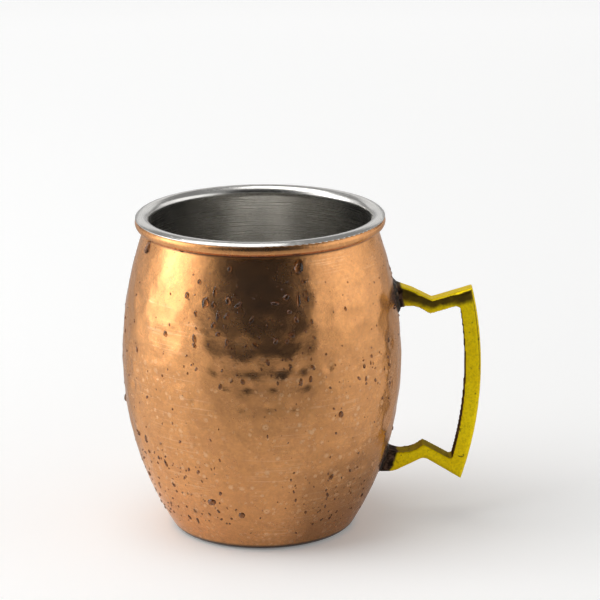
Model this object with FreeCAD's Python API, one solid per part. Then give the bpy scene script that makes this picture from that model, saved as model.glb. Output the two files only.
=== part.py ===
import FreeCAD, Part
import math
import os

# A barrel mug of hammered copper with a stainless liner and a cast brass handle. Millimetres.
# +Z is up, the origin is the centre of the foot on the table, and +X runs through the handle.

# ---- driving dimensions -------------------------------------------------------------------
HEIGHT = 103.4                 # table to the top of the rolled rim
BELLY_RADIUS = 45.0            # outside of the copper at its widest
BELLY_HEIGHT = 55.5            # height of the widest place
LOWER_SIDE_RADIUS = 103.0      # curve of the side from the belly down to the foot
RIM_RADIUS = 37.8              # centre of the rolled bead, from the mug's axis
BEAD_RADIUS = 2.1              # outside of the rolled bead
COPPER = 0.7                   # copper sheet
STEEL = 0.4                    # stainless liner sheet
CURL_END = -95.0               # where the copper roll stops, in degrees about the bead
LINER_LIP_END = 40.0           # where the liner's lip stops, on the outer side of the crest

FOOT_BEND = 3.0                # outside radius where the side turns in under the mug
FLANGE_INNER_RADIUS = 21.5     # inner edge of the turned-in flange
BASE_THICKNESS = 0.9
BASE_CLEARANCE = 0.07          # base disc to the start of the foot bend
SEAM_LEG = 0.6                 # solder fillet between flange and base disc
LINER_CORNER = 4.0             # outside radius of the liner's bottom corner

BAR_WIDTH = 5.1                # handle grip, seen from the side
BAR_DEPTH = 6.6                # handle, along Y
BAR_ROUND = 1.5                # softened edges of the handle's outer side
BRAZE_THICKNESS = 0.7          # brazing metal between the handle's feet and the copper
BRAZE_WIDTH = 9.0
BRAZE_CORNER = 2.0
UPPER_JOINT = (70.2, 80.9)     # lowest and highest place of each brazed joint
LOWER_JOINT = (15.8, 25.8)

DEEP_INSIDE = 30.0             # x of construction edges inside the barrel, which it cuts away
CUT_MARGIN = 1.0               # how far a cutting prism runs past the faces it cuts

# ---- derived dimensions -------------------------------------------------------------------
WIRE_RADIUS = BEAD_RADIUS - COPPER
BEAD_HEIGHT = HEIGHT - STEEL - BEAD_RADIUS
RISE = BEAD_HEIGHT - BELLY_HEIGHT
STEP_IN = BELLY_RADIUS - RIM_RADIUS
# The side above the belly is one arc that leaves the belly upright and meets the rim wire.
UPPER_SIDE_RADIUS = (STEP_IN ** 2 + RISE ** 2 - WIRE_RADIUS ** 2) / (2 * (WIRE_RADIUS + STEP_IN))
UPPER_CENTRE = BELLY_RADIUS - UPPER_SIDE_RADIUS
LOWER_CENTRE = BELLY_RADIUS - LOWER_SIDE_RADIUS
NECK_ANGLE = math.degrees(math.atan2(RISE, RIM_RADIUS - UPPER_CENTRE))
BASE_TOP = COPPER + BASE_THICKNESS
BODY_AXIS = FreeCAD.Vector(0, 0, 1)


def at(x, z):
    return FreeCAD.Vector(x, 0, z)


def on_circle(x, z, radius, degrees):
    angle = math.radians(degrees)
    return at(x + radius * math.cos(angle), z + radius * math.sin(angle))


def arc(x, z, radius, start, end):
    """Arc about (x, z) from one angle to another, in degrees."""
    points = [on_circle(x, z, radius, angle) for angle in (start, (start + end) / 2, end)]
    return Part.Arc(*points).toShape()


def line(start, end):
    return Part.LineSegment(start, end).toShape()


def revolved(edges):
    section = Part.Face(Part.Wire(edges))
    return section.revolve(FreeCAD.Vector(0, 0, 0), BODY_AXIS, 360)


def bottom_corner(floor, radius, side_radius):
    """Centre x and end angle of a corner arc tangent to a floor and to the lower side."""
    drop = floor + radius - BELLY_HEIGHT
    reach = math.sqrt((side_radius - radius) ** 2 - drop ** 2)
    return LOWER_CENTRE + reach, math.degrees(math.atan2(drop, reach))


# ---- mug body -----------------------------------------------------------------------------
def make_outer_shell():
    foot_x, foot_angle = bottom_corner(0, FOOT_BEND, LOWER_SIDE_RADIUS)
    curl_start = 180 + NECK_ANGLE
    return revolved([
        line(at(FLANGE_INNER_RADIUS, 0), at(foot_x, 0)),
        arc(foot_x, FOOT_BEND, FOOT_BEND, -90, foot_angle),
        arc(LOWER_CENTRE, BELLY_HEIGHT, LOWER_SIDE_RADIUS, foot_angle, 0),
        arc(UPPER_CENTRE, BELLY_HEIGHT, UPPER_SIDE_RADIUS, 0, NECK_ANGLE),
        arc(RIM_RADIUS, BEAD_HEIGHT, WIRE_RADIUS, curl_start, CURL_END),
        line(on_circle(RIM_RADIUS, BEAD_HEIGHT, WIRE_RADIUS, CURL_END),
             on_circle(RIM_RADIUS, BEAD_HEIGHT, BEAD_RADIUS, CURL_END)),
        arc(RIM_RADIUS, BEAD_HEIGHT, BEAD_RADIUS, CURL_END, curl_start),
        arc(UPPER_CENTRE, BELLY_HEIGHT, UPPER_SIDE_RADIUS - COPPER, NECK_ANGLE, 0),
        arc(LOWER_CENTRE, BELLY_HEIGHT, LOWER_SIDE_RADIUS - COPPER, 0, foot_angle),
        arc(foot_x, FOOT_BEND, FOOT_BEND - COPPER, foot_angle, -90),
        line(at(foot_x, COPPER), at(FLANGE_INNER_RADIUS, COPPER)),
        line(at(FLANGE_INNER_RADIUS, COPPER), at(FLANGE_INNER_RADIUS, 0)),
    ])


def make_rim_wire():
    return Part.makeTorus(RIM_RADIUS, WIRE_RADIUS, at(0, BEAD_HEIGHT), BODY_AXIS)


def make_inner_liner():
    lower = LOWER_SIDE_RADIUS - COPPER
    upper = UPPER_SIDE_RADIUS - COPPER
    corner_x, corner_angle = bottom_corner(BASE_TOP, LINER_CORNER, lower)
    corner_z = BASE_TOP + LINER_CORNER
    curl_start = 180 + NECK_ANGLE
    lip = on_circle(RIM_RADIUS, BEAD_HEIGHT, BEAD_RADIUS + STEEL / 2, LINER_LIP_END)
    return revolved([
        line(at(0, BASE_TOP), at(corner_x, BASE_TOP)),
        arc(corner_x, corner_z, LINER_CORNER, -90, corner_angle),
        arc(LOWER_CENTRE, BELLY_HEIGHT, lower, corner_angle, 0),
        arc(UPPER_CENTRE, BELLY_HEIGHT, upper, 0, NECK_ANGLE),
        arc(RIM_RADIUS, BEAD_HEIGHT, BEAD_RADIUS, curl_start, LINER_LIP_END),
        arc(lip.x, lip.z, STEEL / 2, LINER_LIP_END - 180, LINER_LIP_END),
        arc(RIM_RADIUS, BEAD_HEIGHT, BEAD_RADIUS + STEEL, LINER_LIP_END, curl_start),
        arc(UPPER_CENTRE, BELLY_HEIGHT, upper - STEEL, NECK_ANGLE, 0),
        arc(LOWER_CENTRE, BELLY_HEIGHT, lower - STEEL, 0, corner_angle),
        arc(corner_x, corner_z, LINER_CORNER - STEEL, corner_angle, -90),
        line(at(corner_x, BASE_TOP + STEEL), at(0, BASE_TOP + STEEL)),
        line(at(0, BASE_TOP + STEEL), at(0, BASE_TOP)),
    ])


def make_base_disc():
    foot_x, _ = bottom_corner(0, FOOT_BEND, LOWER_SIDE_RADIUS)
    return Part.makeCylinder(foot_x - BASE_CLEARANCE, BASE_THICKNESS, at(0, COPPER), BODY_AXIS)


def make_base_seam():
    """Concave solder fillet under the base disc, against the flange's inner edge."""
    inner = FLANGE_INNER_RADIUS - SEAM_LEG
    low = COPPER - SEAM_LEG
    return revolved([
        line(at(inner, COPPER), at(FLANGE_INNER_RADIUS, COPPER)),
        line(at(FLANGE_INNER_RADIUS, COPPER), at(FLANGE_INNER_RADIUS, low)),
        arc(inner, low, SEAM_LEG, 0, 90),
    ])


def envelope(growth):
    """Solid barrel, grown outwards, that trims whatever is joined to the side."""
    lower = LOWER_SIDE_RADIUS + growth
    upper = UPPER_SIDE_RADIUS + growth
    base_angle = -math.degrees(math.asin(BELLY_HEIGHT / lower))
    base = on_circle(LOWER_CENTRE, BELLY_HEIGHT, lower, base_angle)
    top = on_circle(UPPER_CENTRE, BELLY_HEIGHT, upper, NECK_ANGLE)
    return revolved([
        line(at(0, base.z), base),
        arc(LOWER_CENTRE, BELLY_HEIGHT, lower, base_angle, 0),
        arc(UPPER_CENTRE, BELLY_HEIGHT, upper, 0, NECK_ANGLE),
        line(top, at(0, top.z)),
        line(at(0, top.z), at(0, base.z)),
    ])


# ---- handle -------------------------------------------------------------------------------
# Side outlines, going round from the upper foot. The top has a thumb notch, the grip bows
# outwards, and the lower arm has a peak above a valley. Both outlines run on into the barrel,
# which trims the feet to its own curve.
OUTER_OUTLINE = {
    "upper_foot": at(DEEP_INSIDE, 84.7),
    "shoulder": at(48.8, 77.65),
    "thumb_notch": at(54.8, 74.5),
    "top_corner": at(67.7, 78.3),
    "grip": at(70.7, 51.5),
    "bottom_corner": at(64.3, 13.6),
    "valley": at(52.3, 21.1),
    "heel": at(42.5, 16.4),
    "lower_foot": at(DEEP_INSIDE, 16.4),
}
GAP_OUTLINE = {
    "upper_foot": at(DEEP_INSIDE, 70.6),
    "arch_start": at(42.6, 70.6),
    "arch_top": at(47.3, 72.7),
    "arch_end": at(51.4, 71.6),
    "kink": at(54.0, 70.0),
    "top_corner": at(63.7, 72.8),
    "grip": at(OUTER_OUTLINE["grip"].x - BAR_WIDTH, OUTER_OUTLINE["grip"].z),
    "bottom_corner": at(61.3, 20.5),
    "peak": at(52.0, 25.8),
    "saddle_start": at(50.4, 24.6),
    "saddle_low": at(46.0, 23.2),
    "saddle_end": at(39.5, 25.3),
    "lower_foot": at(DEEP_INSIDE, 25.3),
}
OUTER_ROUNDS = {"shoulder": 9.0, "valley": 2.5, "heel": 8.0}
GAP_ROUNDS = {"kink": 1.6, "top_corner": 1.8, "bottom_corner": 0.8, "peak": 0.6}
OUTER_CURVES = [("top_corner", "grip", "bottom_corner")]
GAP_CURVES = [
    ("arch_start", "arch_top", "arch_end"),
    ("top_corner", "grip", "bottom_corner"),
    ("saddle_start", "saddle_low", "saddle_end"),
]


def outline_face(points, curves):
    """Face bounded by straight lines, except where three names in a row form a curve."""
    names = list(points)
    edges = []
    index = 0
    while index < len(names):
        trio = tuple(names[index:index + 3])
        if trio in curves:
            edges.append(Part.Arc(*[points[name] for name in trio]).toShape())
            index += 2
        else:
            following = names[(index + 1) % len(names)]
            edges.append(line(points[names[index]], points[following]))
            index += 1
    return Part.Face(Part.Wire(edges))


def prism(face, depth):
    """Solid of a side outline, centred on the handle's middle plane."""
    moved = face.translated(FreeCAD.Vector(0, -depth / 2, 0))
    return moved.extrude(FreeCAD.Vector(0, depth, 0))


def stands_on(edge, corner):
    """True for the straight edge along Y that passes through a corner of the outline."""
    return all(math.hypot(v.X - corner.x, v.Z - corner.z) < 0.001 for v in edge.Vertexes)


def with_rounds(solid, points, rounds):
    for name, radius in rounds.items():
        edges = [edge for edge in solid.Edges if stands_on(edge, points[name])]
        solid = solid.makeFillet(radius, edges)
    return solid


def make_handle():
    outside = prism(outline_face(OUTER_OUTLINE, OUTER_CURVES), BAR_DEPTH)
    outside = with_rounds(outside, OUTER_OUTLINE, OUTER_ROUNDS)
    side_edges = [edge for edge in outside.Edges if edge.BoundBox.YLength < 0.001]
    outside = outside.makeFillet(BAR_ROUND, side_edges)

    gap = prism(outline_face(GAP_OUTLINE, GAP_CURVES), BAR_DEPTH + 2 * CUT_MARGIN)
    gap = with_rounds(gap, GAP_OUTLINE, GAP_ROUNDS)
    return outside.cut(gap).cut(envelope(BRAZE_THICKNESS))


def make_braze(joint):
    """Curved pad of brazing metal on the copper, under one foot of the handle."""
    low, high = joint
    reach = BELLY_RADIUS
    block = Part.makeBox(reach, BRAZE_WIDTH, high - low,
                         FreeCAD.Vector(DEEP_INSIDE, -BRAZE_WIDTH / 2, low))
    long_edges = [edge for edge in block.Edges if edge.BoundBox.XLength > reach / 2]
    block = block.makeFillet(BRAZE_CORNER, long_edges)
    return block.common(envelope(BRAZE_THICKNESS).cut(envelope(0)))


# ---- parts --------------------------------------------------------------------------------
PARTS = {
    "outer_shell": make_outer_shell(),
    "inner_liner": make_inner_liner(),
    "rim_wire": make_rim_wire(),
    "base_disc": make_base_disc(),
    "base_seam": make_base_seam(),
    "handle": make_handle(),
    "upper_braze_joint": make_braze(UPPER_JOINT),
    "lower_braze_joint": make_braze(LOWER_JOINT),
}

os.makedirs("parts", exist_ok=True)
for node, shape in PARTS.items():
    shape.exportStep(f"parts/{node}.step")
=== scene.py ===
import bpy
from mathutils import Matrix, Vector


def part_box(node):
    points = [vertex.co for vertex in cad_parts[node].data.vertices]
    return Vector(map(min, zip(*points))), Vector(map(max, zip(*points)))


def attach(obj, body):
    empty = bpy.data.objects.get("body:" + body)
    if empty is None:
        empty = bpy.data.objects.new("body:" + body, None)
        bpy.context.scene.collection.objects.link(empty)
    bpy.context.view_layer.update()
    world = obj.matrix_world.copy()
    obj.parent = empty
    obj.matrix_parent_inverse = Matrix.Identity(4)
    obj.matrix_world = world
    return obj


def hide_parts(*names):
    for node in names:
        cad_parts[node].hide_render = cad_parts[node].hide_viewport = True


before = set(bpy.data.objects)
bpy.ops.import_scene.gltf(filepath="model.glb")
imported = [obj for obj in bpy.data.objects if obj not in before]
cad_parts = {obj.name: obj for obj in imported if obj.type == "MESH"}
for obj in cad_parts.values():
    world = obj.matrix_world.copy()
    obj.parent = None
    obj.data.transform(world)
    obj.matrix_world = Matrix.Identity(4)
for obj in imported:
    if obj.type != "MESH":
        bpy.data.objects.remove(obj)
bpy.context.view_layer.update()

import math

import bmesh
import bpy
import numpy as np
from mathutils import Matrix, Vector, noise

# Shapes are worked out in millimetres in the CAD model's frame and stored in metres.
MM = 0.001
TAU = 2 * math.pi

# ---- shape of the CAD body, in millimetres and degrees ------------------------------------
BELLY_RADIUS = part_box("outer_shell")[1].x / MM
RIM_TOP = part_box("inner_liner")[1].z / MM
BELLY_HEIGHT = 55.5
LOWER_SIDE_RADIUS = 103.0
UPPER_SIDE_RADIUS = 122.735
NECK_ANGLE = 21.4526
RIM_RADIUS = 37.8
BEAD_RADIUS = 2.1
WIRE_RADIUS = 1.4
COPPER = 0.7
CURL_END = -95.0
STEEL = 0.4
BEAD_HEIGHT = RIM_TOP - STEEL - BEAD_RADIUS
FOOT_BEND = 3.0
FOOT_CENTRE = 27.11
FOOT_ANGLE = -31.66
FLANGE_INNER_RADIUS = 21.5
FLANGE_EDGE = 0.12             # broken edge of the flange

rng = np.random.default_rng(20)


# ---- helpers ------------------------------------------------------------------------------
def arc(x, z, radius, start, end, count):
    """Points (x, z) along an arc, angles in degrees."""
    angles = np.radians(np.linspace(start, end, count))
    return np.column_stack([x + radius * np.cos(angles), z + radius * np.sin(angles)])


def smoothstep(low, high, value):
    """0 to 1 as a value goes from low to high, with soft ends. Low may be the larger."""
    t = np.clip((value - low) / (high - low), 0, 1)
    return t * t * (3 - 2 * t)


def new_piece(name, points, faces, sharp=40):
    """Mesh piece from points in millimetres, smooth except where faces meet sharply."""
    mesh = bpy.data.meshes.new(name)
    mesh.from_pydata((np.asarray(points) * MM).tolist(), [], faces)
    mesh.update()
    mesh.shade_smooth()
    mesh.set_sharp_from_angle(angle=math.radians(sharp))
    piece = bpy.data.objects.new(name, mesh)
    bpy.context.scene.collection.objects.link(piece)
    return piece


def grid_faces(rows, columns, first=0, close_rows=False, close_columns=False):
    """Quads of a grid stored row by row."""
    faces = []
    for i in range(rows if close_rows else rows - 1):
        below, above = first + i * columns, first + (i + 1) % rows * columns
        for j in range(columns if close_columns else columns - 1):
            k = (j + 1) % columns
            faces.append((below + j, below + k, above + k, above + j))
    return faces


def point_attribute(piece, name, values):
    """Stores a number per vertex for a material to read."""
    attribute = piece.data.attributes.new(name, "FLOAT", "POINT")
    attribute.data.foreach_set("value", values.astype(np.float32))


def applied(piece, *modifiers):
    """Applies modifiers, (kind, settings) each, to a piece's mesh."""
    for kind, settings in modifiers:
        modifier = piece.modifiers.new(kind, kind)
        for key, value in settings.items():
            setattr(modifier, key, value)
    graph = bpy.context.evaluated_depsgraph_get()
    mesh = bpy.data.meshes.new_from_object(piece.evaluated_get(graph))
    piece.modifiers.clear()
    old, piece.data = piece.data, mesh
    bpy.data.meshes.remove(old)


# ---- hammered copper surface --------------------------------------------------------------
# Heights on the side are measured along it from the belly, and azimuths from the front.
MARKS_ROUND = 36
ROW_PITCH = 6.5
ROWS = 12
LOWEST_ROW = -35.4
MARK_DEPTH = 0.23
MARK_SIZE = 4.7
EVEN_DEPTH, UNEVEN_DEPTH = 0.035, 0.008   # how far the whole surface is sunk, and its waves
MARK_FALL = 1.6                # how steeply a mark's sides fall
SHARP_ROWS = [                 # height, azimuths in front, depth, size
    (8.6, (-19, -8, -4, 8, 16), 0.26, 2.6),
    (3.6, (-14.3, -5.6, 4.2, 17.9), 0.22, 2.0),
    (-3.2, (-8, 2.5, 12), 0.26, 1.9),
]


def side(along):
    """Radius, height and lean of the copper's outside, by distance along it from the belly."""
    bend = np.where(along < 0, LOWER_SIDE_RADIUS, UPPER_SIDE_RADIUS)
    lean = along / bend
    return BELLY_RADIUS - bend + bend * np.cos(lean), BELLY_HEIGHT + bend * np.sin(lean), lean


def sharp_marks():
    """Rows of small deep marks round the belly: those in front, then the rest."""
    dice = np.random.default_rng(4)
    marks = []
    for along, front, depth, size in SHARP_ROWS:
        marks += [(along, azimuth, depth, size) for azimuth in front]
        for azimuth in np.arange(28, 334, 12.5):
            marks.append((along + dice.normal(0, 0.6), azimuth + dice.normal(0, 2.5),
                          depth * dice.uniform(0.2, 1.0), size * dice.uniform(0.8, 1.1)))
    return marks


def hammer_marks():
    """Marks (along, azimuth, depth, size) in staggered rows, uneven as hand work is."""
    marks = []
    for row in range(ROWS):
        along = LOWEST_ROW + row * ROW_PITCH
        strength = 1 - 0.6 * (row in (0, ROWS - 1))
        stagger = 0.12 if row % 2 == 0 else 0.62
        for place in range(MARKS_ROUND):
            marks.append((
                along + rng.normal(0, 0.75),
                math.radians((place + stagger + rng.normal(0, 0.15)) * 360 / MARKS_ROUND),
                MARK_DEPTH * strength * rng.uniform(0.6, 1.15),
                MARK_SIZE * rng.uniform(0.88, 1.12),
            ))
    return marks + [(along, math.radians(azimuth), depth, size)
                    for along, azimuth, depth, size in sharp_marks()]


MARKS = hammer_marks()


def carve(along, azimuth):
    """How far hammering and handling have sunk the surface, in millimetres."""
    wobble = (
        np.sin(2 * azimuth + 0.7) + np.sin(3 * azimuth + along / 19)
        + np.sin(5 * azimuth - along / 13 + 2) + np.sin(along / 9 + 1.3)
    )
    sunk = EVEN_DEPTH + UNEVEN_DEPTH * wobble
    for height, angle, depth, size in MARKS:
        across = ((azimuth - angle + math.pi) % TAU - math.pi) * side(np.array(height))[0]
        near = 1 - ((along - height) ** 2 + across ** 2) / size ** 2
        sunk = sunk + depth * np.clip(near, 0, None) ** MARK_FALL
    return sunk


def on_side(along, azimuth, lift):
    """Points at a height over the hammered surface. Azimuth runs from -Y towards +X."""
    radius, height, lean = side(along)
    out = lift - carve(along, azimuth)
    reach = radius + out * np.cos(lean)
    return np.stack([
        reach * np.sin(azimuth), -reach * np.cos(azimuth), height + out * np.sin(lean)
    ], -1)


# ---- copper body --------------------------------------------------------------------------
BODY_STEPS = 432
SIDE_ROWS = 150
HELD_FOOT, HELD_RIM = 3, 2.5   # how far from its ends the side is free of hammering
GROOVE = (37.25, 98.7)         # radius and height of the groove under the bead, where shade is painted
GROOVE_REACH = 0.62
FOOT_SHADE_HEIGHTS = (2.3, 0.9)
FOOT_SHADE_RADII = (25.6, 27.6)


def make_copper_body():
    """Turned sheet from the flange up the hammered side, over the bead and back down inside."""
    azimuth = np.arange(BODY_STEPS) * TAU / BODY_STEPS
    curl_start = 180 + NECK_ANGLE
    lowest = LOWER_SIDE_RADIUS * math.radians(FOOT_ANGLE)
    highest = UPPER_SIDE_RADIUS * math.radians(NECK_ANGLE)
    lower_centre = BELLY_RADIUS - LOWER_SIDE_RADIUS
    upper_centre = BELLY_RADIUS - UPPER_SIDE_RADIUS

    def turned(section):
        radius, height = section[:, :1], section[:, 1:]
        flat = np.broadcast_to(height, (len(section), BODY_STEPS))
        return np.stack([radius * np.sin(azimuth), -radius * np.cos(azimuth), flat], -1)

    foot = np.vstack([
        [(FLANGE_INNER_RADIUS, COPPER), (FLANGE_INNER_RADIUS, FLANGE_EDGE),
         (FLANGE_INNER_RADIUS + FLANGE_EDGE, 0), (FOOT_CENTRE, 0)],
        arc(FOOT_CENTRE, FOOT_BEND, FOOT_BEND, -90, FOOT_ANGLE, 8)[1:-1],
    ])
    along, around = np.meshgrid(
        np.linspace(lowest, highest, SIDE_ROWS), azimuth, indexing="ij")
    # Hammering stops short of the foot and of the rim's curl, which hold their shape.
    held = (smoothstep(lowest, lowest + HELD_FOOT, along)
            * smoothstep(highest, highest - HELD_RIM, along))
    wall = on_side(along, around, carve(along, around) * (1 - held))
    roll = np.vstack([
        arc(RIM_RADIUS, BEAD_HEIGHT, WIRE_RADIUS, curl_start, CURL_END, 12)[1:],
        arc(RIM_RADIUS, BEAD_HEIGHT, BEAD_RADIUS, CURL_END, curl_start, 34),
        arc(upper_centre, BELLY_HEIGHT, UPPER_SIDE_RADIUS - COPPER, NECK_ANGLE, 0, 6)[1:],
        arc(lower_centre, BELLY_HEIGHT, LOWER_SIDE_RADIUS - COPPER, 0, FOOT_ANGLE, 8)[1:],
        arc(FOOT_CENTRE, FOOT_BEND, FOOT_BEND - COPPER, FOOT_ANGLE, -90, 4)[1:],
    ])
    points = np.concatenate([turned(foot), wall, turned(roll)]).reshape(-1, 3)
    rows = len(points) // BODY_STEPS
    piece = new_piece("copper_body", points, grid_faces(rows, BODY_STEPS, 0, True, True))
    radius, height = np.hypot(points[:, 0], points[:, 1]), points[:, 2]
    # The groove under the bead gets painted shade, and the foot's edge by the floor a painted
    # contact shadow.
    groove = np.hypot(radius - GROOVE[0], height - GROOVE[1]) / GROOVE_REACH
    foot_edge = smoothstep(*FOOT_SHADE_HEIGHTS, height) * smoothstep(*FOOT_SHADE_RADII, radius)
    point_attribute(piece, "painted_shade", np.exp(-groove ** 2) + foot_edge)
    return piece


body = make_copper_body()

# ---- cast handle --------------------------------------------------------------------------
TOP_CORNER = (67.7, 78.3)      # (x, z) of the peak at the top
BAR_DEPTH = 6.6
BAR_ROUND = 1.5                # softened edges of the outer side
FOOT_SINK = 0.35               # how far over the copper the feet end, inside the brazing
CAST_GRID = 0.26               # spacing of the mesh that softens the casting
CAST_DEPTH = 0.05              # how far the cast skin is sunk on average

OUTER_PATH = [                 # (x, z), radius of the corner
    ((30.0, 84.7), 0), ((48.8, 77.65), 9.0), ((54.8, 74.5), 0.3), (TOP_CORNER, 0), "bow",
    ((70.68, 51.5), 0), ((64.3, 13.6), 0), ((52.3, 21.1), 2.5), ((42.5, 16.4), 8.0),
    ((30.0, 16.4), 0),
]
GAP_PATH = [
    ((30.0, 70.6), 0), ((42.6, 70.6), 0), "bow", ((47.3, 72.7), 0), ((51.4, 71.6), 0),
    ((54.0, 70.0), 1.6), ((63.7, 72.8), 1.8), "bow", ((65.6, 51.5), 0), ((61.3, 20.5), 0.8),
    ((52.0, 25.8), 0.6), ((50.4, 24.6), 0), "bow", ((46.0, 23.2), 0), ((39.5, 25.3), 0),
    ((30.0, 25.3), 0),
]


def through(start, middle, end, count=24):
    """Points on the circle through three points."""
    (ax, ay), (bx, by), (cx, cy) = start, middle, end
    d = 2 * (ax * (by - cy) + bx * (cy - ay) + cx * (ay - by))
    a, b, c = ax * ax + ay * ay, bx * bx + by * by, cx * cx + cy * cy
    ux = (a * (by - cy) + b * (cy - ay) + c * (ay - by)) / d
    uy = (a * (cx - bx) + b * (ax - cx) + c * (bx - ax)) / d
    first = math.atan2(ay - uy, ax - ux)
    sweep = (math.atan2(cy - uy, cx - ux) - first + math.pi) % TAU - math.pi
    radius = math.hypot(ax - ux, ay - uy)
    turn = first + sweep * np.linspace(0, 1, count)
    return np.column_stack([ux + radius * np.cos(turn), uy + radius * np.sin(turn)])


def traced(path):
    """Points along a path of lines and bows, with its corners rounded."""
    rows, radii, index = [], [], 0
    while index < len(path):
        if path[index] == "bow":
            bow = through(path[index - 1][0], path[index + 1][0], path[index + 2][0])
            rows += list(bow[1:-1])
            radii += [0] * (len(bow) - 2)
            index += 2
        else:
            rows.append(np.array(path[index][0]))
            radii.append(path[index][1])
            index += 1
    points = []
    for i, (corner, radius) in enumerate(zip(rows, radii)):
        if not radius:
            points.append(corner)
            continue
        back = (rows[i - 1] - corner) / np.linalg.norm(rows[i - 1] - corner)
        ahead = (rows[i + 1] - corner) / np.linalg.norm(rows[i + 1] - corner)
        half = math.acos(np.clip(back @ ahead, -1, 1)) / 2
        cut = radius / math.tan(half)
        middle = corner + (back + ahead) / np.linalg.norm(back + ahead) * (
            radius / math.sin(half) - radius)
        points += list(through(corner + back * cut, middle, corner + ahead * cut, 7))
    return np.array(points)


def barrel_x(z):
    """How far out the end of a foot lies at a height."""
    bend = LOWER_SIDE_RADIUS if z < BELLY_HEIGHT else UPPER_SIDE_RADIUS
    return BELLY_RADIUS - bend + math.sqrt((bend + FOOT_SINK) ** 2 - (z - BELLY_HEIGHT) ** 2)


def trimmed(points):
    """A path cut off where it enters the barrel at either end."""
    outside = [i for i, (x, z) in enumerate(points) if x > barrel_x(z)]
    first, last = outside[0], outside[-1]
    ends = []
    for inner, outer in ((points[first - 1], points[first]), (points[last + 1], points[last])):
        t = np.linspace(0, 1, 400)[:, None]
        line = inner + (outer - inner) * t
        ends.append(next(p for p in line if p[0] > barrel_x(p[1])))
    return np.vstack([ends[0], points[first:last + 1], ends[1]])


def inset(points, distance):
    """A path moved sideways to its right by a distance."""
    step = np.diff(points, axis=0)
    normal = np.column_stack([step[:, 1], -step[:, 0]]) / np.linalg.norm(step, axis=1)[:, None]
    before, after = np.vstack([normal[:1], normal]), np.vstack([normal, normal[-1:]])
    middle = before + after
    middle /= np.linalg.norm(middle, axis=1)[:, None]
    return points + middle * (distance / np.sum(middle * before, axis=1))[:, None]


outer_line = trimmed(traced(OUTER_PATH))
gap_line = trimmed(traced(GAP_PATH))


def make_handle():
    """Bar with rounded outer edges, built up in slices and softened as cast metal is."""
    shape = bmesh.new()
    slices = []
    for turn in np.radians(np.linspace(-90, 90, 10)):
        y = BAR_ROUND * math.sin(turn) + math.copysign(BAR_DEPTH / 2 - BAR_ROUND, turn)
        outer = inset(outer_line, BAR_ROUND * (1 - math.cos(turn)))
        outer[:, 0] = np.maximum(outer[:, 0], [barrel_x(z) for z in outer[:, 1]])
        slices.append([shape.verts.new((x * MM, y * MM, z * MM))
                       for x, z in np.vstack([outer, gap_line[::-1]])])
    count = len(slices[0])
    for near, far in zip(slices, slices[1:]):
        for i in range(count):
            j = (i + 1) % count
            shape.faces.new((near[i], near[j], far[j], far[i]))
    shape.faces.new(slices[0])
    shape.faces.new(slices[-1][::-1])
    bmesh.ops.triangulate(shape, faces=shape.faces[:])
    bmesh.ops.recalc_face_normals(shape, faces=shape.faces[:])
    mesh = bpy.data.meshes.new("handle_casting")
    shape.to_mesh(mesh)
    shape.free()
    piece = bpy.data.objects.new("handle_casting", mesh)
    bpy.context.scene.collection.objects.link(piece)
    applied(
        piece,
        ("REMESH", {"mode": "VOXEL", "voxel_size": CAST_GRID * MM}),
        ("SMOOTH", {"factor": 0.5, "iterations": 4}),
    )
    piece.data.shade_smooth()
    return piece


def mesh_points(piece):
    """Vertices of a piece, in millimetres."""
    points = np.empty(len(piece.data.vertices) * 3, np.float32)
    piece.data.vertices.foreach_get("co", points)
    return points.reshape(-1, 3) / MM


def mesh_normals(piece):
    normals = np.empty(len(piece.data.vertices) * 3, np.float32)
    piece.data.vertex_normals.foreach_get("vector", normals)
    return normals.reshape(-1, 3)


def distance_to(line, x, z):
    """Distance in the side view from points to a path."""
    best = np.full(len(x), 1e9)
    for (ax, az), (bx, bz) in zip(line[:-1], line[1:]):
        ux, uz = bx - ax, bz - az
        t = np.clip(((x - ax) * ux + (z - az) * uz) / (ux * ux + uz * uz), 0, 1)
        best = np.minimum(best, np.hypot(x - ax - t * ux, z - az - t * uz))
    return best


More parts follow.
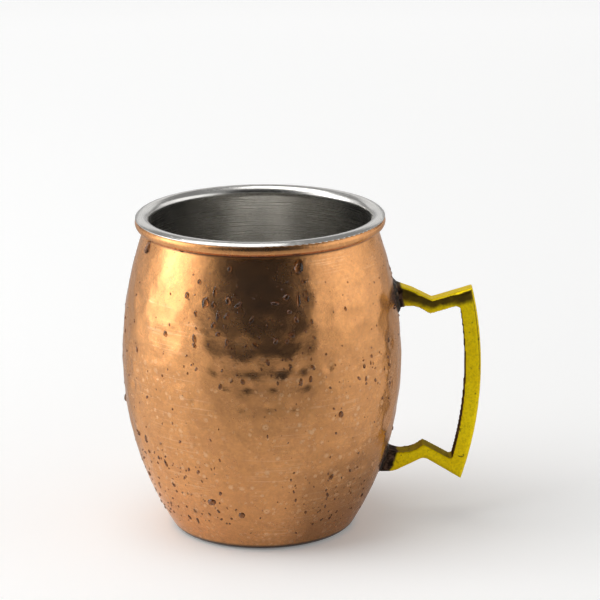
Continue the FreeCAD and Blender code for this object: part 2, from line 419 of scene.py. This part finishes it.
def weathered_and_shaded(piece):
    """Uneven cast surface, painted shade on its edges and round its gap, and where heat has
    darkened the metal.
    """
    points, normals = mesh_points(piece), mesh_normals(piece)
    rough = np.array([
        0.7 * noise.noise(Vector(p) * 0.45) + 0.3 * noise.noise(Vector(p) * 1.3)
        for p in points.tolist()
    ])
    points = points + normals * (CAST_DEPTH * rough - CAST_DEPTH)[:, None]
    piece.data.vertices.foreach_set("co", (points * MM).astype(np.float32).ravel())
    x, y, z = points.T
    facing_y = np.abs(normals[:, 1])
    # Painted shade on the faces round the gap, lighter where they face up.
    gap_side = smoothstep(1.0, 0.3, distance_to(gap_line, x, z)) * smoothstep(0.9, 0.5, facing_y)
    up = normals[:, 2]
    # Painted shade under the edge of the upper arm, most of all near its ends.
    depth = distance_to(outer_line, x, z)
    top_line = outer_line[:1 + np.argmin(np.hypot(*(outer_line - TOP_CORNER).T))]
    shade = 4.3 + 1.0 * np.cos((x - 46) / 3.3) + 1.2 * rough
    top_edge = smoothstep(0.70, 0.84, facing_y) * smoothstep(
        shade, 0.55 * shade, distance_to(top_line, x, z))
    # A painted dark line along the rounded outer edge.
    edge_line = 0.8 * smoothstep(0.16, 0.04, np.abs(facing_y - 0.80)) * smoothstep(36, 58, z)
    edge_line *= smoothstep(2.2, 1.4, depth)
    top_edge = np.maximum(top_edge, edge_line)
    # Painted shade on the outer sides.
    outer_side = 0.5 * smoothstep(0.55, 0.15, facing_y) * smoothstep(0.8, 0.3, up)
    gap_side *= 1 - 0.30 * smoothstep(0.3, 0.8, up) - 0.2 * np.clip(rough, 0, 1)
    painted_handle_shade = np.maximum(np.maximum(gap_side, outer_side), 0.96 * top_edge)
    point_attribute(piece, "painted_handle_shade", painted_handle_shade)
    from_barrel = x - np.array([barrel_x(height) for height in z]) + 0.6 * rough
    reach = np.where(z > BELLY_HEIGHT, 1.7, 3.4)
    point_attribute(piece, "scorch", smoothstep(reach + 0.5, reach - 0.4, from_barrel))
    piece.data.update()
    return piece


handle = weathered_and_shaded(make_handle())

# ---- brazed joints ------------------------------------------------------------------------
PAD_STEPS = 72
PAD_CORNERS = 0.30             # how far the corners are drawn in
PAD_UNDER = -0.3               # underside, within the copper


def make_braze(name, node, foot_low, foot_high, seed):
    """Uneven fillet of brazing metal between a foot of the handle and the copper."""
    low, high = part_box(node)
    z_mid = (low.z + high.z) / 2 / MM
    half_z = (high.z - low.z) / 2 / MM + 0.3
    half_y = (high.y - low.y) / 2 / MM + 0.2
    span = np.linspace(-1, 1, PAD_STEPS)
    v, u = np.meshgrid(span, span, indexing="ij")
    # The grid is rounded off so that the pad has no corners.
    round_u = u * np.sqrt(1 - PAD_CORNERS * v ** 4)
    round_v = v * np.sqrt(1 - PAD_CORNERS * u ** 4)
    ragged = 1 + 0.05 * np.sin(5 * np.arctan2(v, u) + seed) + 0.04 * np.sin(9 * np.arctan2(v, u))
    y = round_u * half_y * ragged
    z = z_mid + round_v * half_z * ragged
    edge = 1 - np.maximum(np.abs(u), np.abs(v)) ** 3
    foot_y = np.clip(np.abs(y) - BAR_DEPTH / 2, 0, None)
    foot_z = np.clip(np.maximum(foot_low - z, z - foot_high), 0, None)
    gap = np.hypot(foot_y, foot_z)
    lift = edge * (0.42 + 0.95 * np.exp(-gap / 0.75)) - 0.12
    lumps = np.array([[noise.noise(Vector((a * 0.8, b * 0.8, seed))) for a, b in zip(*row)]
                      for row in zip(y, z)])
    lift += 0.16 * edge * lumps
    bend = np.where(z < BELLY_HEIGHT, LOWER_SIDE_RADIUS, UPPER_SIDE_RADIUS)
    lean = np.arcsin((z - BELLY_HEIGHT) / bend)
    radius = BELLY_RADIUS - bend + bend * np.cos(lean)
    azimuth = np.arcsin(y / radius)

    def sheet(out):
        reach = radius + out * np.cos(lean)
        return np.stack([
            reach * np.cos(azimuth), reach * np.sin(azimuth), z + out * np.sin(lean)
        ], -1).reshape(-1, 3)

    count = PAD_STEPS * PAD_STEPS
    points = np.vstack([sheet(lift), sheet(np.full_like(lift, PAD_UNDER))])
    faces = grid_faces(PAD_STEPS, PAD_STEPS)
    faces += [tuple(count + k for k in face[::-1]) for face in grid_faces(PAD_STEPS, PAD_STEPS)]
    last = PAD_STEPS - 1
    border = (list(range(last)) + [i * PAD_STEPS + last for i in range(last)]
              + [last * PAD_STEPS + j for j in range(last, 0, -1)]
              + [i * PAD_STEPS for i in range(last, 0, -1)])
    for a, b in zip(border, border[1:] + border[:1]):
        faces.append((b, a, count + a, count + b))
    return new_piece(name, points, faces, 60)


upper_braze = make_braze("upper_braze_metal", "upper_braze_joint", 71.0, 79.6, 1.0)
lower_braze = make_braze("lower_braze_metal", "lower_braze_joint", 16.9, 25.2, 4.0)

# ---- condensation -------------------------------------------------------------------------
# Drops that stand out: along the side from the belly, azimuth, half width, half height.
LARGE_DROPS = [
    (40.3, 17.6, 1.7, 2.4), (41.5, -68.0, 1.2, 2.6), (29.3, -24.5, 1.2, 1.7),
    (28.8, -20.7, 0.8, 1.1), (30.4, -14.4, 1.1, 1.3), (32.8, -20.5, 0.8, 1.6),
    (25.6, -18.6, 0.5, 2.0), (22.5, -20.3, 0.9, 1.1), (25.3, -14.9, 0.9, 1.0),
    (17.5, -14.3, 0.7, 1.1), (35.3, -28.3, 0.8, 0.8), (40.2, -14.4, 0.9, 1.0),
    (30.3, 16.2, 0.8, 2.1), (31.4, 10.9, 1.1, 1.2), (30.2, 20.0, 0.7, 1.2),
    (29.6, 5.8, 1.3, 0.8), (24.1, 14.6, 0.9, 1.1), (23.2, 21.2, 0.6, 0.8),
    (17.9, 5.6, 1.0, 1.0), (-38.2, -25.5, 1.5, 1.2), (-42.5, -11.0, 1.0, 1.2),
    (-20.5, -60.0, 0.6, 1.6), (44.2, -41.0, 0.9, 0.8),
]
# Fields of small drops: count, range along the side, range of azimuth, sizes, stretch.
DROP_FIELDS = [
    (600, (-52, 43), (0, 360), (0.14, 0.42), (1.0, 1.9)),
    (70, (-48, 42), (30, 325), (0.45, 0.90), (1.0, 1.6)),
    (70, (3, 36), (-34, 22), (0.28, 0.85), (1.0, 1.9)),
    (90, (-50, -24), (-80, -18), (0.20, 0.55), (1.0, 2.2)),
    (50, (-50, -28), (10, 60), (0.20, 0.50), (1.0, 2.2)),
    (28, (-12, 18), (42, 66), (0.22, 0.60), (1.0, 1.8)),
]
DROP_RINGS, DROP_STEPS = 5, 16
DROP_ROOT = 0.12               # how far a drop's closed underside lies in the copper


def drop_shapes():
    """Drops (along, azimuth, half width, half height, lift, skew) over the whole side."""
    drops = []
    for along, azimuth, wide, high in LARGE_DROPS:
        drops.append((along, math.radians(azimuth), wide, high, 0.75 * min(wide, high), 0.0))
    for count, span, sector, sizes, stretches in DROP_FIELDS:
        for _ in range(count):
            size = sizes[0] + (sizes[1] - sizes[0]) * rng.random() ** 2.5
            drops.append((
                rng.uniform(*span), math.radians(rng.uniform(*sector)), size,
                size * rng.uniform(*stretches), size * rng.uniform(0.5, 0.75), rng.normal(0, 0.4),
            ))
    return drops


def make_condensation():
    """All drops in one piece, each a closed dome that sags and has an uneven outline."""
    rings = np.linspace(1, 0, DROP_RINGS + 1)[:-1]
    turn = np.arange(DROP_STEPS) * TAU / DROP_STEPS
    # One drop: a ring under the copper, the rings of its dome, then its top and bottom points.
    reach = np.concatenate([[0.9], rings])
    rise = np.sqrt(np.clip(1 - rings ** 2, 0, 1)) * 0.55 + (1 - rings ** 2) * 0.45
    across = np.concatenate([(reach[:, None] * np.cos(turn)).ravel(), [0, 0]])
    up = np.concatenate([(reach[:, None] * np.sin(turn)).ravel(), [0, 0]])
    lift = np.concatenate([np.repeat(np.concatenate([[-1], rise]), DROP_STEPS), [1, -1]])
    single = grid_faces(len(reach), DROP_STEPS, 0, False, True)
    top, bottom = len(across) - 2, len(across) - 1
    outer = (len(reach) - 1) * DROP_STEPS
    for j in range(DROP_STEPS):
        k = (j + 1) % DROP_STEPS
        single += [(outer + j, outer + k, top), (k, j, bottom)]
    along, azimuth, height, faces = [], [], [], []
    for number, (s, angle, wide, high, thick, skew) in enumerate(drop_shapes()):
        sag = 0.22 * high * (1 - up ** 2)
        outline = 1 + 0.10 * np.sin(2 * np.arctan2(up, across) + number)
        dx, dy = across * wide * outline, up * high * outline - sag * (lift > 0.05)
        c, w = math.cos(skew), math.sin(skew)
        along.append(s + dy * c - dx * w)
        azimuth.append(angle + (dx * c + dy * w) / side(np.array(s))[0])
        height.append(np.where(lift < 0, -DROP_ROOT, lift * thick - 0.02))
        faces += [tuple(number * len(across) + k for k in face) for face in single]
    points = on_side(*map(np.concatenate, (along, azimuth, height)))
    # Nothing stands out beyond the CAD's smooth side.
    points[:, :2] *= np.minimum(1, (BELLY_RADIUS - 0.02) / np.hypot(*points[:, :2].T))[:, None]
    return new_piece("condensation", points, faces, 80)


condensation = make_condensation()


# ---- materials ----------------------------------------------------------------------------
class Finish:
    """A material made of nodes round one Principled shader."""

    def __init__(self, name, **settings):
        self.material = bpy.data.materials.new(name)
        self.material.use_nodes = True
        self.tree = self.material.node_tree
        self.shader = self.tree.nodes["Principled BSDF"]
        self.place = self.node("TexCoord").outputs["Object"]
        for socket, value in settings.items():
            self.put(self.shader.inputs[socket.replace("_", " ")], value)

    def put(self, socket, value):
        if isinstance(value, bpy.types.NodeSocket):
            self.tree.links.new(value, socket)
        else:
            socket.default_value = value

    def node(self, kind, inputs=None, **settings):
        made = self.tree.nodes.new("ShaderNode" + kind)
        for key, value in settings.items():
            setattr(made, key, value)
        for key, value in (inputs or {}).items():
            self.put(made.inputs[key], value)
        return made

    def noise(self, size, detail=3.0, roughness=0.5, place=None):
        """Noise whose features are about a size in millimetres."""
        return self.node("TexNoise", {
            "Vector": place or self.place, "Scale": 1 / (size * MM),
            "Detail": detail, "Roughness": roughness,
        }).outputs["Fac"]

    def ramp(self, value, low, high, start=0.0, end=1.0):
        """Value from low..high spread to start..end, and held there."""
        return self.node("MapRange", {
            "Value": value, "From Min": low, "From Max": high, "To Min": start, "To Max": end,
        }).outputs["Result"]

    def math(self, operation, a, b=0.0):
        return self.node("Math", {0: a, 1: b}, operation=operation).outputs[0]

    def blend(self, factor, a, b):
        mix = self.node("Mix", data_type="RGBA")
        for socket, value in ((0, factor), (6, a), (7, b)):
            if socket and not isinstance(value, bpy.types.NodeSocket):
                value = (*value, 1.0)
            self.put(mix.inputs[socket], value)
        return mix.outputs[2]

    def attribute(self, name):
        return self.node("Attribute", attribute_name=name).outputs["Fac"]

    def turned(self, along=1.0, around=1.0):
        """Coordinates that follow a turned part: radius, height, and distance around it."""
        parts = self.node("SeparateXYZ", {"Vector": self.place}).outputs
        angle = self.math("ARCTAN2", parts[1], parts[0])
        radius = self.math("SQRT", self.math(
            "ADD", self.math("MULTIPLY", parts[0], parts[0]),
            self.math("MULTIPLY", parts[1], parts[1])))
        return self.node("CombineXYZ", {
            "X": self.math("MULTIPLY", radius, along),
            "Y": self.math("MULTIPLY", parts[2], along),
            "Z": self.math("MULTIPLY", angle, around * BELLY_RADIUS * MM),
        }).outputs[0]

    def bump(self, *layers):
        """Bumps (height value, depth in millimetres) on top of each other."""
        normal = None
        for value, depth in layers:
            inputs = {"Height": value, "Distance": depth * MM}
            if normal:
                inputs["Normal"] = normal
            normal = self.node("Bump", inputs).outputs["Normal"]
        self.put(self.shader.inputs["Normal"], normal)


def copper_finish():
    f = Finish("copper", Sheen_Weight=0.075, Sheen_Roughness=0.7, Sheen_Tint=(0.85, 0.92, 1.0, 1),
               Coat_Weight=0.35, Coat_Roughness=0.2, Coat_IOR=1.5,
               Specular_Tint=(0.92, 0.70, 0.50, 1))
    painted_shade = f.attribute("painted_shade")
    tone = f.ramp(f.noise(26, 5, 0.6), 0.35, 0.68)
    bloom = f.ramp(f.noise(6, 5, 0.65), 0.45, 0.75)
    grain = f.noise(1.1, 4, 0.65)
    # Water marks: dots and small rings where drops have dried.
    shifted = f.node("VectorMath", {0: f.place, 1: f.node(
        "VectorMath", {0: f.node("TexNoise", {
            "Scale": 1 / (1.3 * MM), "Detail": 3}).outputs["Color"], 1: (
            1.9 * MM, 1.9 * MM, 1.9 * MM)}, operation="MULTIPLY").outputs[0]},
        operation="ADD").outputs[0]
    marks = 0.0
    for size, offset in ((1.8, 0.2), (2.6, 0.0), (3.7, 0.4)):
        cells = f.node("TexVoronoi", {"Vector": f.node("VectorMath", {
            0: shifted, 1: (offset, offset, offset)}, operation="ADD").outputs[0],
            "Scale": 1 / (size * MM)}).outputs
        pick = f.node("SeparateColor", {"Color": cells["Color"]}).outputs[0]
        ring = f.math("ABSOLUTE", f.math("SUBTRACT", cells["Distance"], f.ramp(
            pick, 0.0, 0.7, 0.0, 0.20)))
        ring = f.math("MULTIPLY", f.ramp(ring, 0.090, 0.040), f.ramp(pick, 0.72, 0.68))
        marks = f.math("MAXIMUM", ring, marks)
    low = f.ramp(f.node("SeparateXYZ", {"Vector": f.place}).outputs[2], 0.072, 0.056)
    marks = f.math("MULTIPLY", marks, f.math("MULTIPLY", low, f.ramp(f.noise(16, 3), 0.34, 0.46)))
    # Fine scratches round the body.
    lines = f.ramp(f.noise(1.0, 2, 0.5, f.turned(2.2, 0.05)), 0.58, 0.68)
    lines = f.math("MULTIPLY", lines, f.ramp(f.noise(20, 2), 0.48, 0.58))
    colour = f.blend(tone, (0.690, 0.312, 0.098), (0.785, 0.362, 0.122))
    colour = f.blend(f.math("MULTIPLY", bloom, 0.45), colour, (0.50, 0.215, 0.080))
    mottle = f.ramp(f.noise(2.3, 4, 0.7), 0.42, 0.66, 0.0, 0.42)
    colour = f.blend(mottle, colour, (0.47, 0.200, 0.070))
    colour = f.blend(f.ramp(grain, 0.35, 0.7, 0.0, 0.44), colour, (0.42, 0.190, 0.075))
    colour = f.blend(f.math("MULTIPLY", marks, 0.70), colour, (0.88, 0.54, 0.29))
    colour = f.blend(f.math("MULTIPLY", lines, 0.35), colour, (0.88, 0.54, 0.30))
    # Near-black painted shade in the groove and painted contact shadow at the foot, which also
    # dull and roughen the metal there.
    colour = f.blend(f.ramp(painted_shade, 0.1, 0.9, 0.0, 0.96), colour, (0.020, 0.011, 0.006))
    f.put(f.shader.inputs["Base Color"], colour)
    f.put(f.shader.inputs["Metallic"], f.ramp(painted_shade, 0.2, 0.9, 1.0, 0.5))
    rough = f.ramp(f.noise(9, 4, 0.6), 0.3, 0.75, 0.20, 0.32)
    rough = f.math("ADD", rough, f.math("MULTIPLY", painted_shade, 0.25))
    f.put(f.shader.inputs["Roughness"], f.math("ADD", rough, f.math("MULTIPLY", marks, 0.20)))
    f.bump((grain, 0.048), (f.noise(2.8, 3, 0.6), 0.06), (lines, 0.006), (marks, 0.012))
    return f.material


def steel_finish():
    f = Finish("stainless", Metallic=1.0)
    brush = f.noise(1.0, 3, 0.6, f.turned(4.0, 0.02))
    patches = f.ramp(f.noise(15, 4, 0.6), 0.35, 0.7)
    f.put(f.shader.inputs["Base Color"],
          f.blend(patches, (0.68, 0.665, 0.635), (0.78, 0.765, 0.735)))
    f.put(f.shader.inputs["Roughness"], f.math(
        "ADD", f.ramp(brush, 0.3, 0.7, 0.17, 0.27), f.math("MULTIPLY", patches, 0.06)))
    f.bump((brush, 0.003), (f.noise(9, 2), 0.02))
    return f.material


def wire_finish():
    f = Finish("steel_wire", Metallic=1.0)
    drawn = f.noise(0.5, 2, 0.5, f.turned(1.0, 0.05))
    f.put(f.shader.inputs["Base Color"], f.blend(drawn, (0.42, 0.41, 0.40), (0.56, 0.55, 0.54)))
    f.put(f.shader.inputs["Roughness"], f.ramp(drawn, 0.3, 0.7, 0.3, 0.45))
    f.bump((drawn, 0.01))
    return f.material


def base_finish():
    f = Finish("copper_base", Metallic=1.0)
    rings = f.noise(0.8, 3, 0.6, f.turned(1.0, 0.03))
    stain = f.ramp(f.noise(12, 5, 0.6), 0.4, 0.7)
    colour = f.blend(stain, (0.66, 0.33, 0.14), (0.45, 0.20, 0.085))
    f.put(f.shader.inputs["Base Color"], colour)
    f.put(f.shader.inputs["Roughness"], f.ramp(rings, 0.3, 0.7, 0.28, 0.42))
    f.bump((rings, 0.015))
    return f.material


def solder_finish():
    f = Finish("solder", Metallic=1.0)
    lumps = f.noise(1.4, 4, 0.6)
    f.put(f.shader.inputs["Base Color"], f.blend(lumps, (0.36, 0.34, 0.31), (0.66, 0.63, 0.58)))
    f.put(f.shader.inputs["Roughness"], f.ramp(lumps, 0.3, 0.7, 0.35, 0.6))
    f.bump((lumps, 0.08))
    return f.material


def brass_finish():
    f = Finish("cast_brass", Specular_IOR_Level=0.15)
    painted_handle_shade, scorch = f.attribute("painted_handle_shade"), f.attribute("scorch")
    tone = f.ramp(f.noise(8, 4, 0.6), 0.35, 0.7)
    grain = f.noise(0.7, 4, 0.6)
    pits = f.math("MULTIPLY", f.ramp(f.noise(1.5, 4, 0.6), 0.60, 0.68),
                  f.ramp(f.noise(7, 2), 0.50, 0.60))
    colour = f.blend(tone, (0.93, 0.67, 0.004), (1.0, 0.77, 0.007))
    colour = f.blend(f.ramp(grain, 0.42, 0.66, 0.0, 0.5), colour, (0.60, 0.42, 0.006))
    colour = f.blend(f.math("MULTIPLY", pits, 0.85), colour, (0.09, 0.06, 0.012))
    # Dark brown painted shade on the handle's edges and round its gap; it also darkens the
    # reflections through the specular tint.
    brown = f.blend(f.ramp(f.noise(2.4, 4, 0.6), 0.4, 0.65), (0.050, 0.026, 0.014),
                    (0.11, 0.068, 0.012))
    colour = f.blend(f.math("MULTIPLY", painted_handle_shade, 0.96), colour, brown)
    scale = f.blend(f.ramp(f.noise(1.5, 4, 0.7), 0.45, 0.62), (0.018, 0.010, 0.008),
                    (0.12, 0.070, 0.050))
    f.put(f.shader.inputs["Base Color"], f.blend(scorch, colour, scale))
    f.put(f.shader.inputs["Metallic"], f.ramp(
        f.math("SUBTRACT", painted_handle_shade, scorch), 0, 1, 0.45, 0.95))
    f.put(f.shader.inputs["Specular Tint"],
          f.blend(painted_handle_shade, (1.0, 0.86, 0.45), (0.24, 0.15, 0.05)))
    rough = f.ramp(grain, 0.3, 0.75, 0.32, 0.46)
    rough = f.math("ADD", rough, f.math("MULTIPLY", scorch, 0.22))
    f.put(f.shader.inputs["Roughness"], f.math("ADD", rough, f.math("MULTIPLY", painted_handle_shade, 0.1)))
    f.bump((grain, 0.02), (f.noise(2.5, 2), 0.04), (f.math("SUBTRACT", 1.0, pits), 0.05))
    return f.material


def braze_finish():
    f = Finish("braze")
    flow = f.noise(1.1, 5, 0.65)
    colour = f.blend(f.ramp(flow, 0.48, 0.66), (0.018, 0.011, 0.008), (0.17, 0.11, 0.06))
    f.put(f.shader.inputs["Base Color"], colour)
    f.put(f.shader.inputs["Metallic"], f.ramp(flow, 0.4, 0.7, 0.35, 0.9))
    f.put(f.shader.inputs["Roughness"], f.ramp(flow, 0.3, 0.7, 0.6, 0.36))
    f.bump((flow, 0.08))
    return f.material


def water_finish():
    # The brownish grey tint is painted shade: it darkens the drops as the dark they refract would.
    f = Finish("water", Base_Color=(0.37, 0.30, 0.24, 1), IOR=1.333, Transmission_Weight=1.0,
               Coat_Weight=0.12, Coat_Roughness=0.02, Coat_IOR=1.9)
    f.put(f.shader.inputs["Roughness"], f.ramp(f.noise(5, 2), 0.3, 0.7, 0.0, 0.05))
    return f.material


def wear(piece, material):
    piece.data.materials.clear()
    piece.data.materials.append(material)


def assign(node, material):
    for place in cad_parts[node].material_slots:
        place.material = material


copper, steel = copper_finish(), steel_finish()
wear(body, copper)
brass = brass_finish()
wear(handle, brass)
braze = braze_finish()
wear(upper_braze, braze)
wear(lower_braze, braze)
wear(condensation, water_finish())
assign("inner_liner", steel)
assign("rim_wire", wire_finish())
assign("base_disc", base_finish())
assign("base_seam", solder_finish())

for piece, node, slot in (
    (body, "outer_shell", "copper"),
    (handle, "handle", "cast_brass"),
    (upper_braze, "upper_braze_joint", "braze"),
    (lower_braze, "lower_braze_joint", "braze"),
):
    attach(piece, "root")
    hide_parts(node)
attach(condensation, "root")


# ---- studio -------------------------------------------------------------------------------
def card(name, corners, material):
    """Flat sheet that belongs to the studio."""
    mesh = bpy.data.meshes.new(name)
    mesh.from_pydata(corners, [], [tuple(range(len(corners)))])
    mesh.materials.append(material)
    piece = bpy.data.objects.new(name, mesh)
    bpy.context.scene.collection.objects.link(piece)
    return piece


FLOOR_HALF = 4.0
FLOOR_TOP = -0.0001            # a hair under the foot, so that the two don't coincide
floor_finish = Finish("floor", Roughness=0.9)
floor_finish.put(floor_finish.shader.inputs["Base Color"], floor_finish.blend(
    floor_finish.noise(400, 2), (0.89, 0.89, 0.885), (0.91, 0.91, 0.905)))
seen = floor_finish.node("LightPath").outputs
seen = floor_finish.math("MAXIMUM", seen["Is Camera Ray"], floor_finish.math(
    "MAXIMUM", seen["Is Glossy Ray"], seen["Is Transmission Ray"]))
floor_finish.put(floor_finish.shader.inputs["Emission Color"], (1.0, 1.0, 1.0, 1.0))
# The floor beyond the lamps' reach is kept as pale as the floor round the mug.
floor_x, floor_y, _ = floor_finish.node("SeparateXYZ", {"Vector": floor_finish.place}).outputs
glow = floor_finish.math(
    "ADD", floor_finish.ramp(floor_y, 0.1, 0.9, 0.14, 0.35),
    floor_finish.ramp(floor_finish.math("ABSOLUTE", floor_x), 0.75, 1.0, 0.0, 0.60))
floor_finish.put(floor_finish.shader.inputs["Emission Strength"], floor_finish.math(
    "MULTIPLY", seen, glow))
card("floor", [(-FLOOR_HALF, -FLOOR_HALF, FLOOR_TOP), (FLOOR_HALF, -FLOOR_HALF, FLOOR_TOP),
               (FLOOR_HALF, FLOOR_HALF, FLOOR_TOP), (-FLOOR_HALF, FLOOR_HALF, FLOOR_TOP)],
     floor_finish.material)

# Dark cards in front: one stands, as photographers use with polished metal, and one lies on the
# floor and thins out towards the mug, painting shade into the floor that the copper reflects. Only
# reflections see them.
FLAG_Y = -0.60
FLAG_HALF, FLAG_TOP = 0.74, 0.95
APRON_HALF = 1.2
APRON_TOP = 0.001


def dark_card(name, corners, cover):
    """Card that only reflections see, as dense as the function cover makes it."""
    f = Finish(name, Base_Color=(0.03, 0.03, 0.03, 1), Roughness=1.0, Specular_IOR_Level=0.0)
    x, y, _ = f.node("SeparateXYZ", {"Vector": f.place}).outputs
    f.put(f.shader.inputs["Alpha"], cover(f, x, y))
    piece = card(name, corners, f.material)
    piece.visible_camera = piece.visible_diffuse = piece.visible_shadow = False


def flag_cover(f, x, y):
    """Opaque in the middle and soft towards both sides."""
    return f.ramp(f.math("ABSOLUTE", x), 0.72, 0.30)


def apron_cover(f, x, y):
    """Denser with the distance in front of the mug, thinner to its sides and behind it."""
    # Painted shade in the floor that the copper reflects: in front of the mug, beside its foot on
    # the right where its shadow falls, and just behind it.
    distance = f.math("SQRT", f.math("ADD", f.math("MULTIPLY", x, x), f.math("MULTIPLY", y, y)))
    cover = f.math("ADD", f.ramp(distance, 0.03, 0.16, 0.13, 0.50),
                   f.ramp(distance, 0.42, 0.62, 0.0, 0.30))
    aside = f.math("DIVIDE", x, f.math("MAXIMUM", f.math("ABSOLUTE", y), 0.01))
    sides = f.math("MULTIPLY", f.ramp(aside, -1.6, -0.2), f.ramp(aside, 2.0, 0.2, 0.12, 1.0))
    front = f.math("MULTIPLY", cover, sides)
    front = f.math("MULTIPLY", front, f.ramp(y, -0.025, -0.035))
    ahead = f.math("DIVIDE", y, distance)
    beside = f.math("MULTIPLY", f.ramp(distance, 0.11, 0.055), f.ramp(
        f.math("DIVIDE", x, distance), 0.08, 0.50, 0.0, 0.46))
    beside = f.math("MULTIPLY", beside, f.ramp(ahead, 0.75, 0.55))
    behind = f.math("MULTIPLY", f.ramp(ahead, 0.40, 0.62), f.ramp(distance, 0.04, 0.06, 0.0, 0.45))
    return f.math("MAXIMUM", front, f.math("MAXIMUM", beside, behind))


dark_card("flag", [(-FLAG_HALF, FLAG_Y, 0.0), (FLAG_HALF, FLAG_Y, 0.0),
                   (FLAG_HALF, FLAG_Y, FLAG_TOP), (-FLAG_HALF, FLAG_Y, FLAG_TOP)], flag_cover)
dark_card("apron", [(-APRON_HALF, FLAG_Y, APRON_TOP), (APRON_HALF, FLAG_Y, APRON_TOP),
                    (APRON_HALF, APRON_HALF, APRON_TOP), (-APRON_HALF, APRON_HALF, APRON_TOP)],
          apron_cover)


def softbox(name, azimuth, elevation, distance, wide, high, level, target=(0, 0, 0.05)):
    """Soft area light of a surface brightness, aimed at the mug. Azimuth is from -Y."""
    a, e = math.radians(azimuth), math.radians(elevation)
    way = Vector((math.sin(a) * math.cos(e), -math.cos(a) * math.cos(e), math.sin(e)))
    light = bpy.data.lights.new(name, "AREA")
    light.shape = "RECTANGLE"
    light.size, light.size_y = wide, high
    light.energy = level * math.pi * wide * high
    lamp = bpy.data.objects.new(name, light)
    lamp.location = Vector(target) + way * distance
    lamp.rotation_mode = "QUATERNION"
    lamp.rotation_quaternion = way.to_track_quat("Z", "Y")
    lamp.visible_camera = False
    bpy.context.scene.collection.objects.link(lamp)


# Name, azimuth, elevation, distance, width, height, surface brightness.
softbox("left_wide", -90, 18, 0.97, 1.50, 0.60, 0.50)
softbox("left_middle", -82, 18, 0.96, 0.95, 0.60, 0.55)
softbox("left_core", -86, 16, 0.95, 0.62, 0.60, 1.65)
softbox("left_spot", -90, 15, 0.93, 0.20, 0.24, 1.8)
softbox("right_wide", 87, 18, 0.97, 1.66, 0.60, 0.75)
softbox("right_core", 82, 18, 0.95, 0.76, 0.56, 0.40)
softbox("overhead", -75, 69, 1.3, 0.95, 1.5, 2.2)
softbox("behind", 180, 24, 1.6, 2.0, 0.7, 0.6)

WORLD_LEVEL = 0.27
world = bpy.data.worlds.new("studio")
world.use_nodes = True
world.node_tree.nodes["Background"].inputs["Color"].default_value = (1, 1, 1, 1)
world.node_tree.nodes["Background"].inputs["Strength"].default_value = WORLD_LEVEL
bpy.context.scene.world = world

# ---- camera -------------------------------------------------------------------------------
CAMERA_PLACE = Vector((0, -0.886, 0.32524))
PITCH, YAW, ROLL = (math.radians(angle) for angle in (15.819, 0.805, -0.507))
SENSOR, LENS = 36, 172.24      # in millimetres

camera = bpy.data.objects.new("camera", bpy.data.cameras.new("camera"))
camera.data.sensor_width = SENSOR
camera.data.lens = LENS
ahead = Vector((math.sin(YAW) * math.cos(PITCH), math.cos(YAW) * math.cos(PITCH),
                -math.sin(PITCH)))
right = Vector((math.cos(YAW), -math.sin(YAW), 0))
up = right.cross(ahead)
right, up = (math.cos(ROLL) * right + math.sin(ROLL) * up,
             math.cos(ROLL) * up - math.sin(ROLL) * right)
camera.matrix_world = Matrix.Translation(CAMERA_PLACE) @ Matrix(
    (right, up, -ahead)).transposed().to_4x4()
bpy.context.scene.collection.objects.link(camera)
bpy.context.scene.camera = camera
bpy.context.scene.view_settings.view_transform = "Standard"
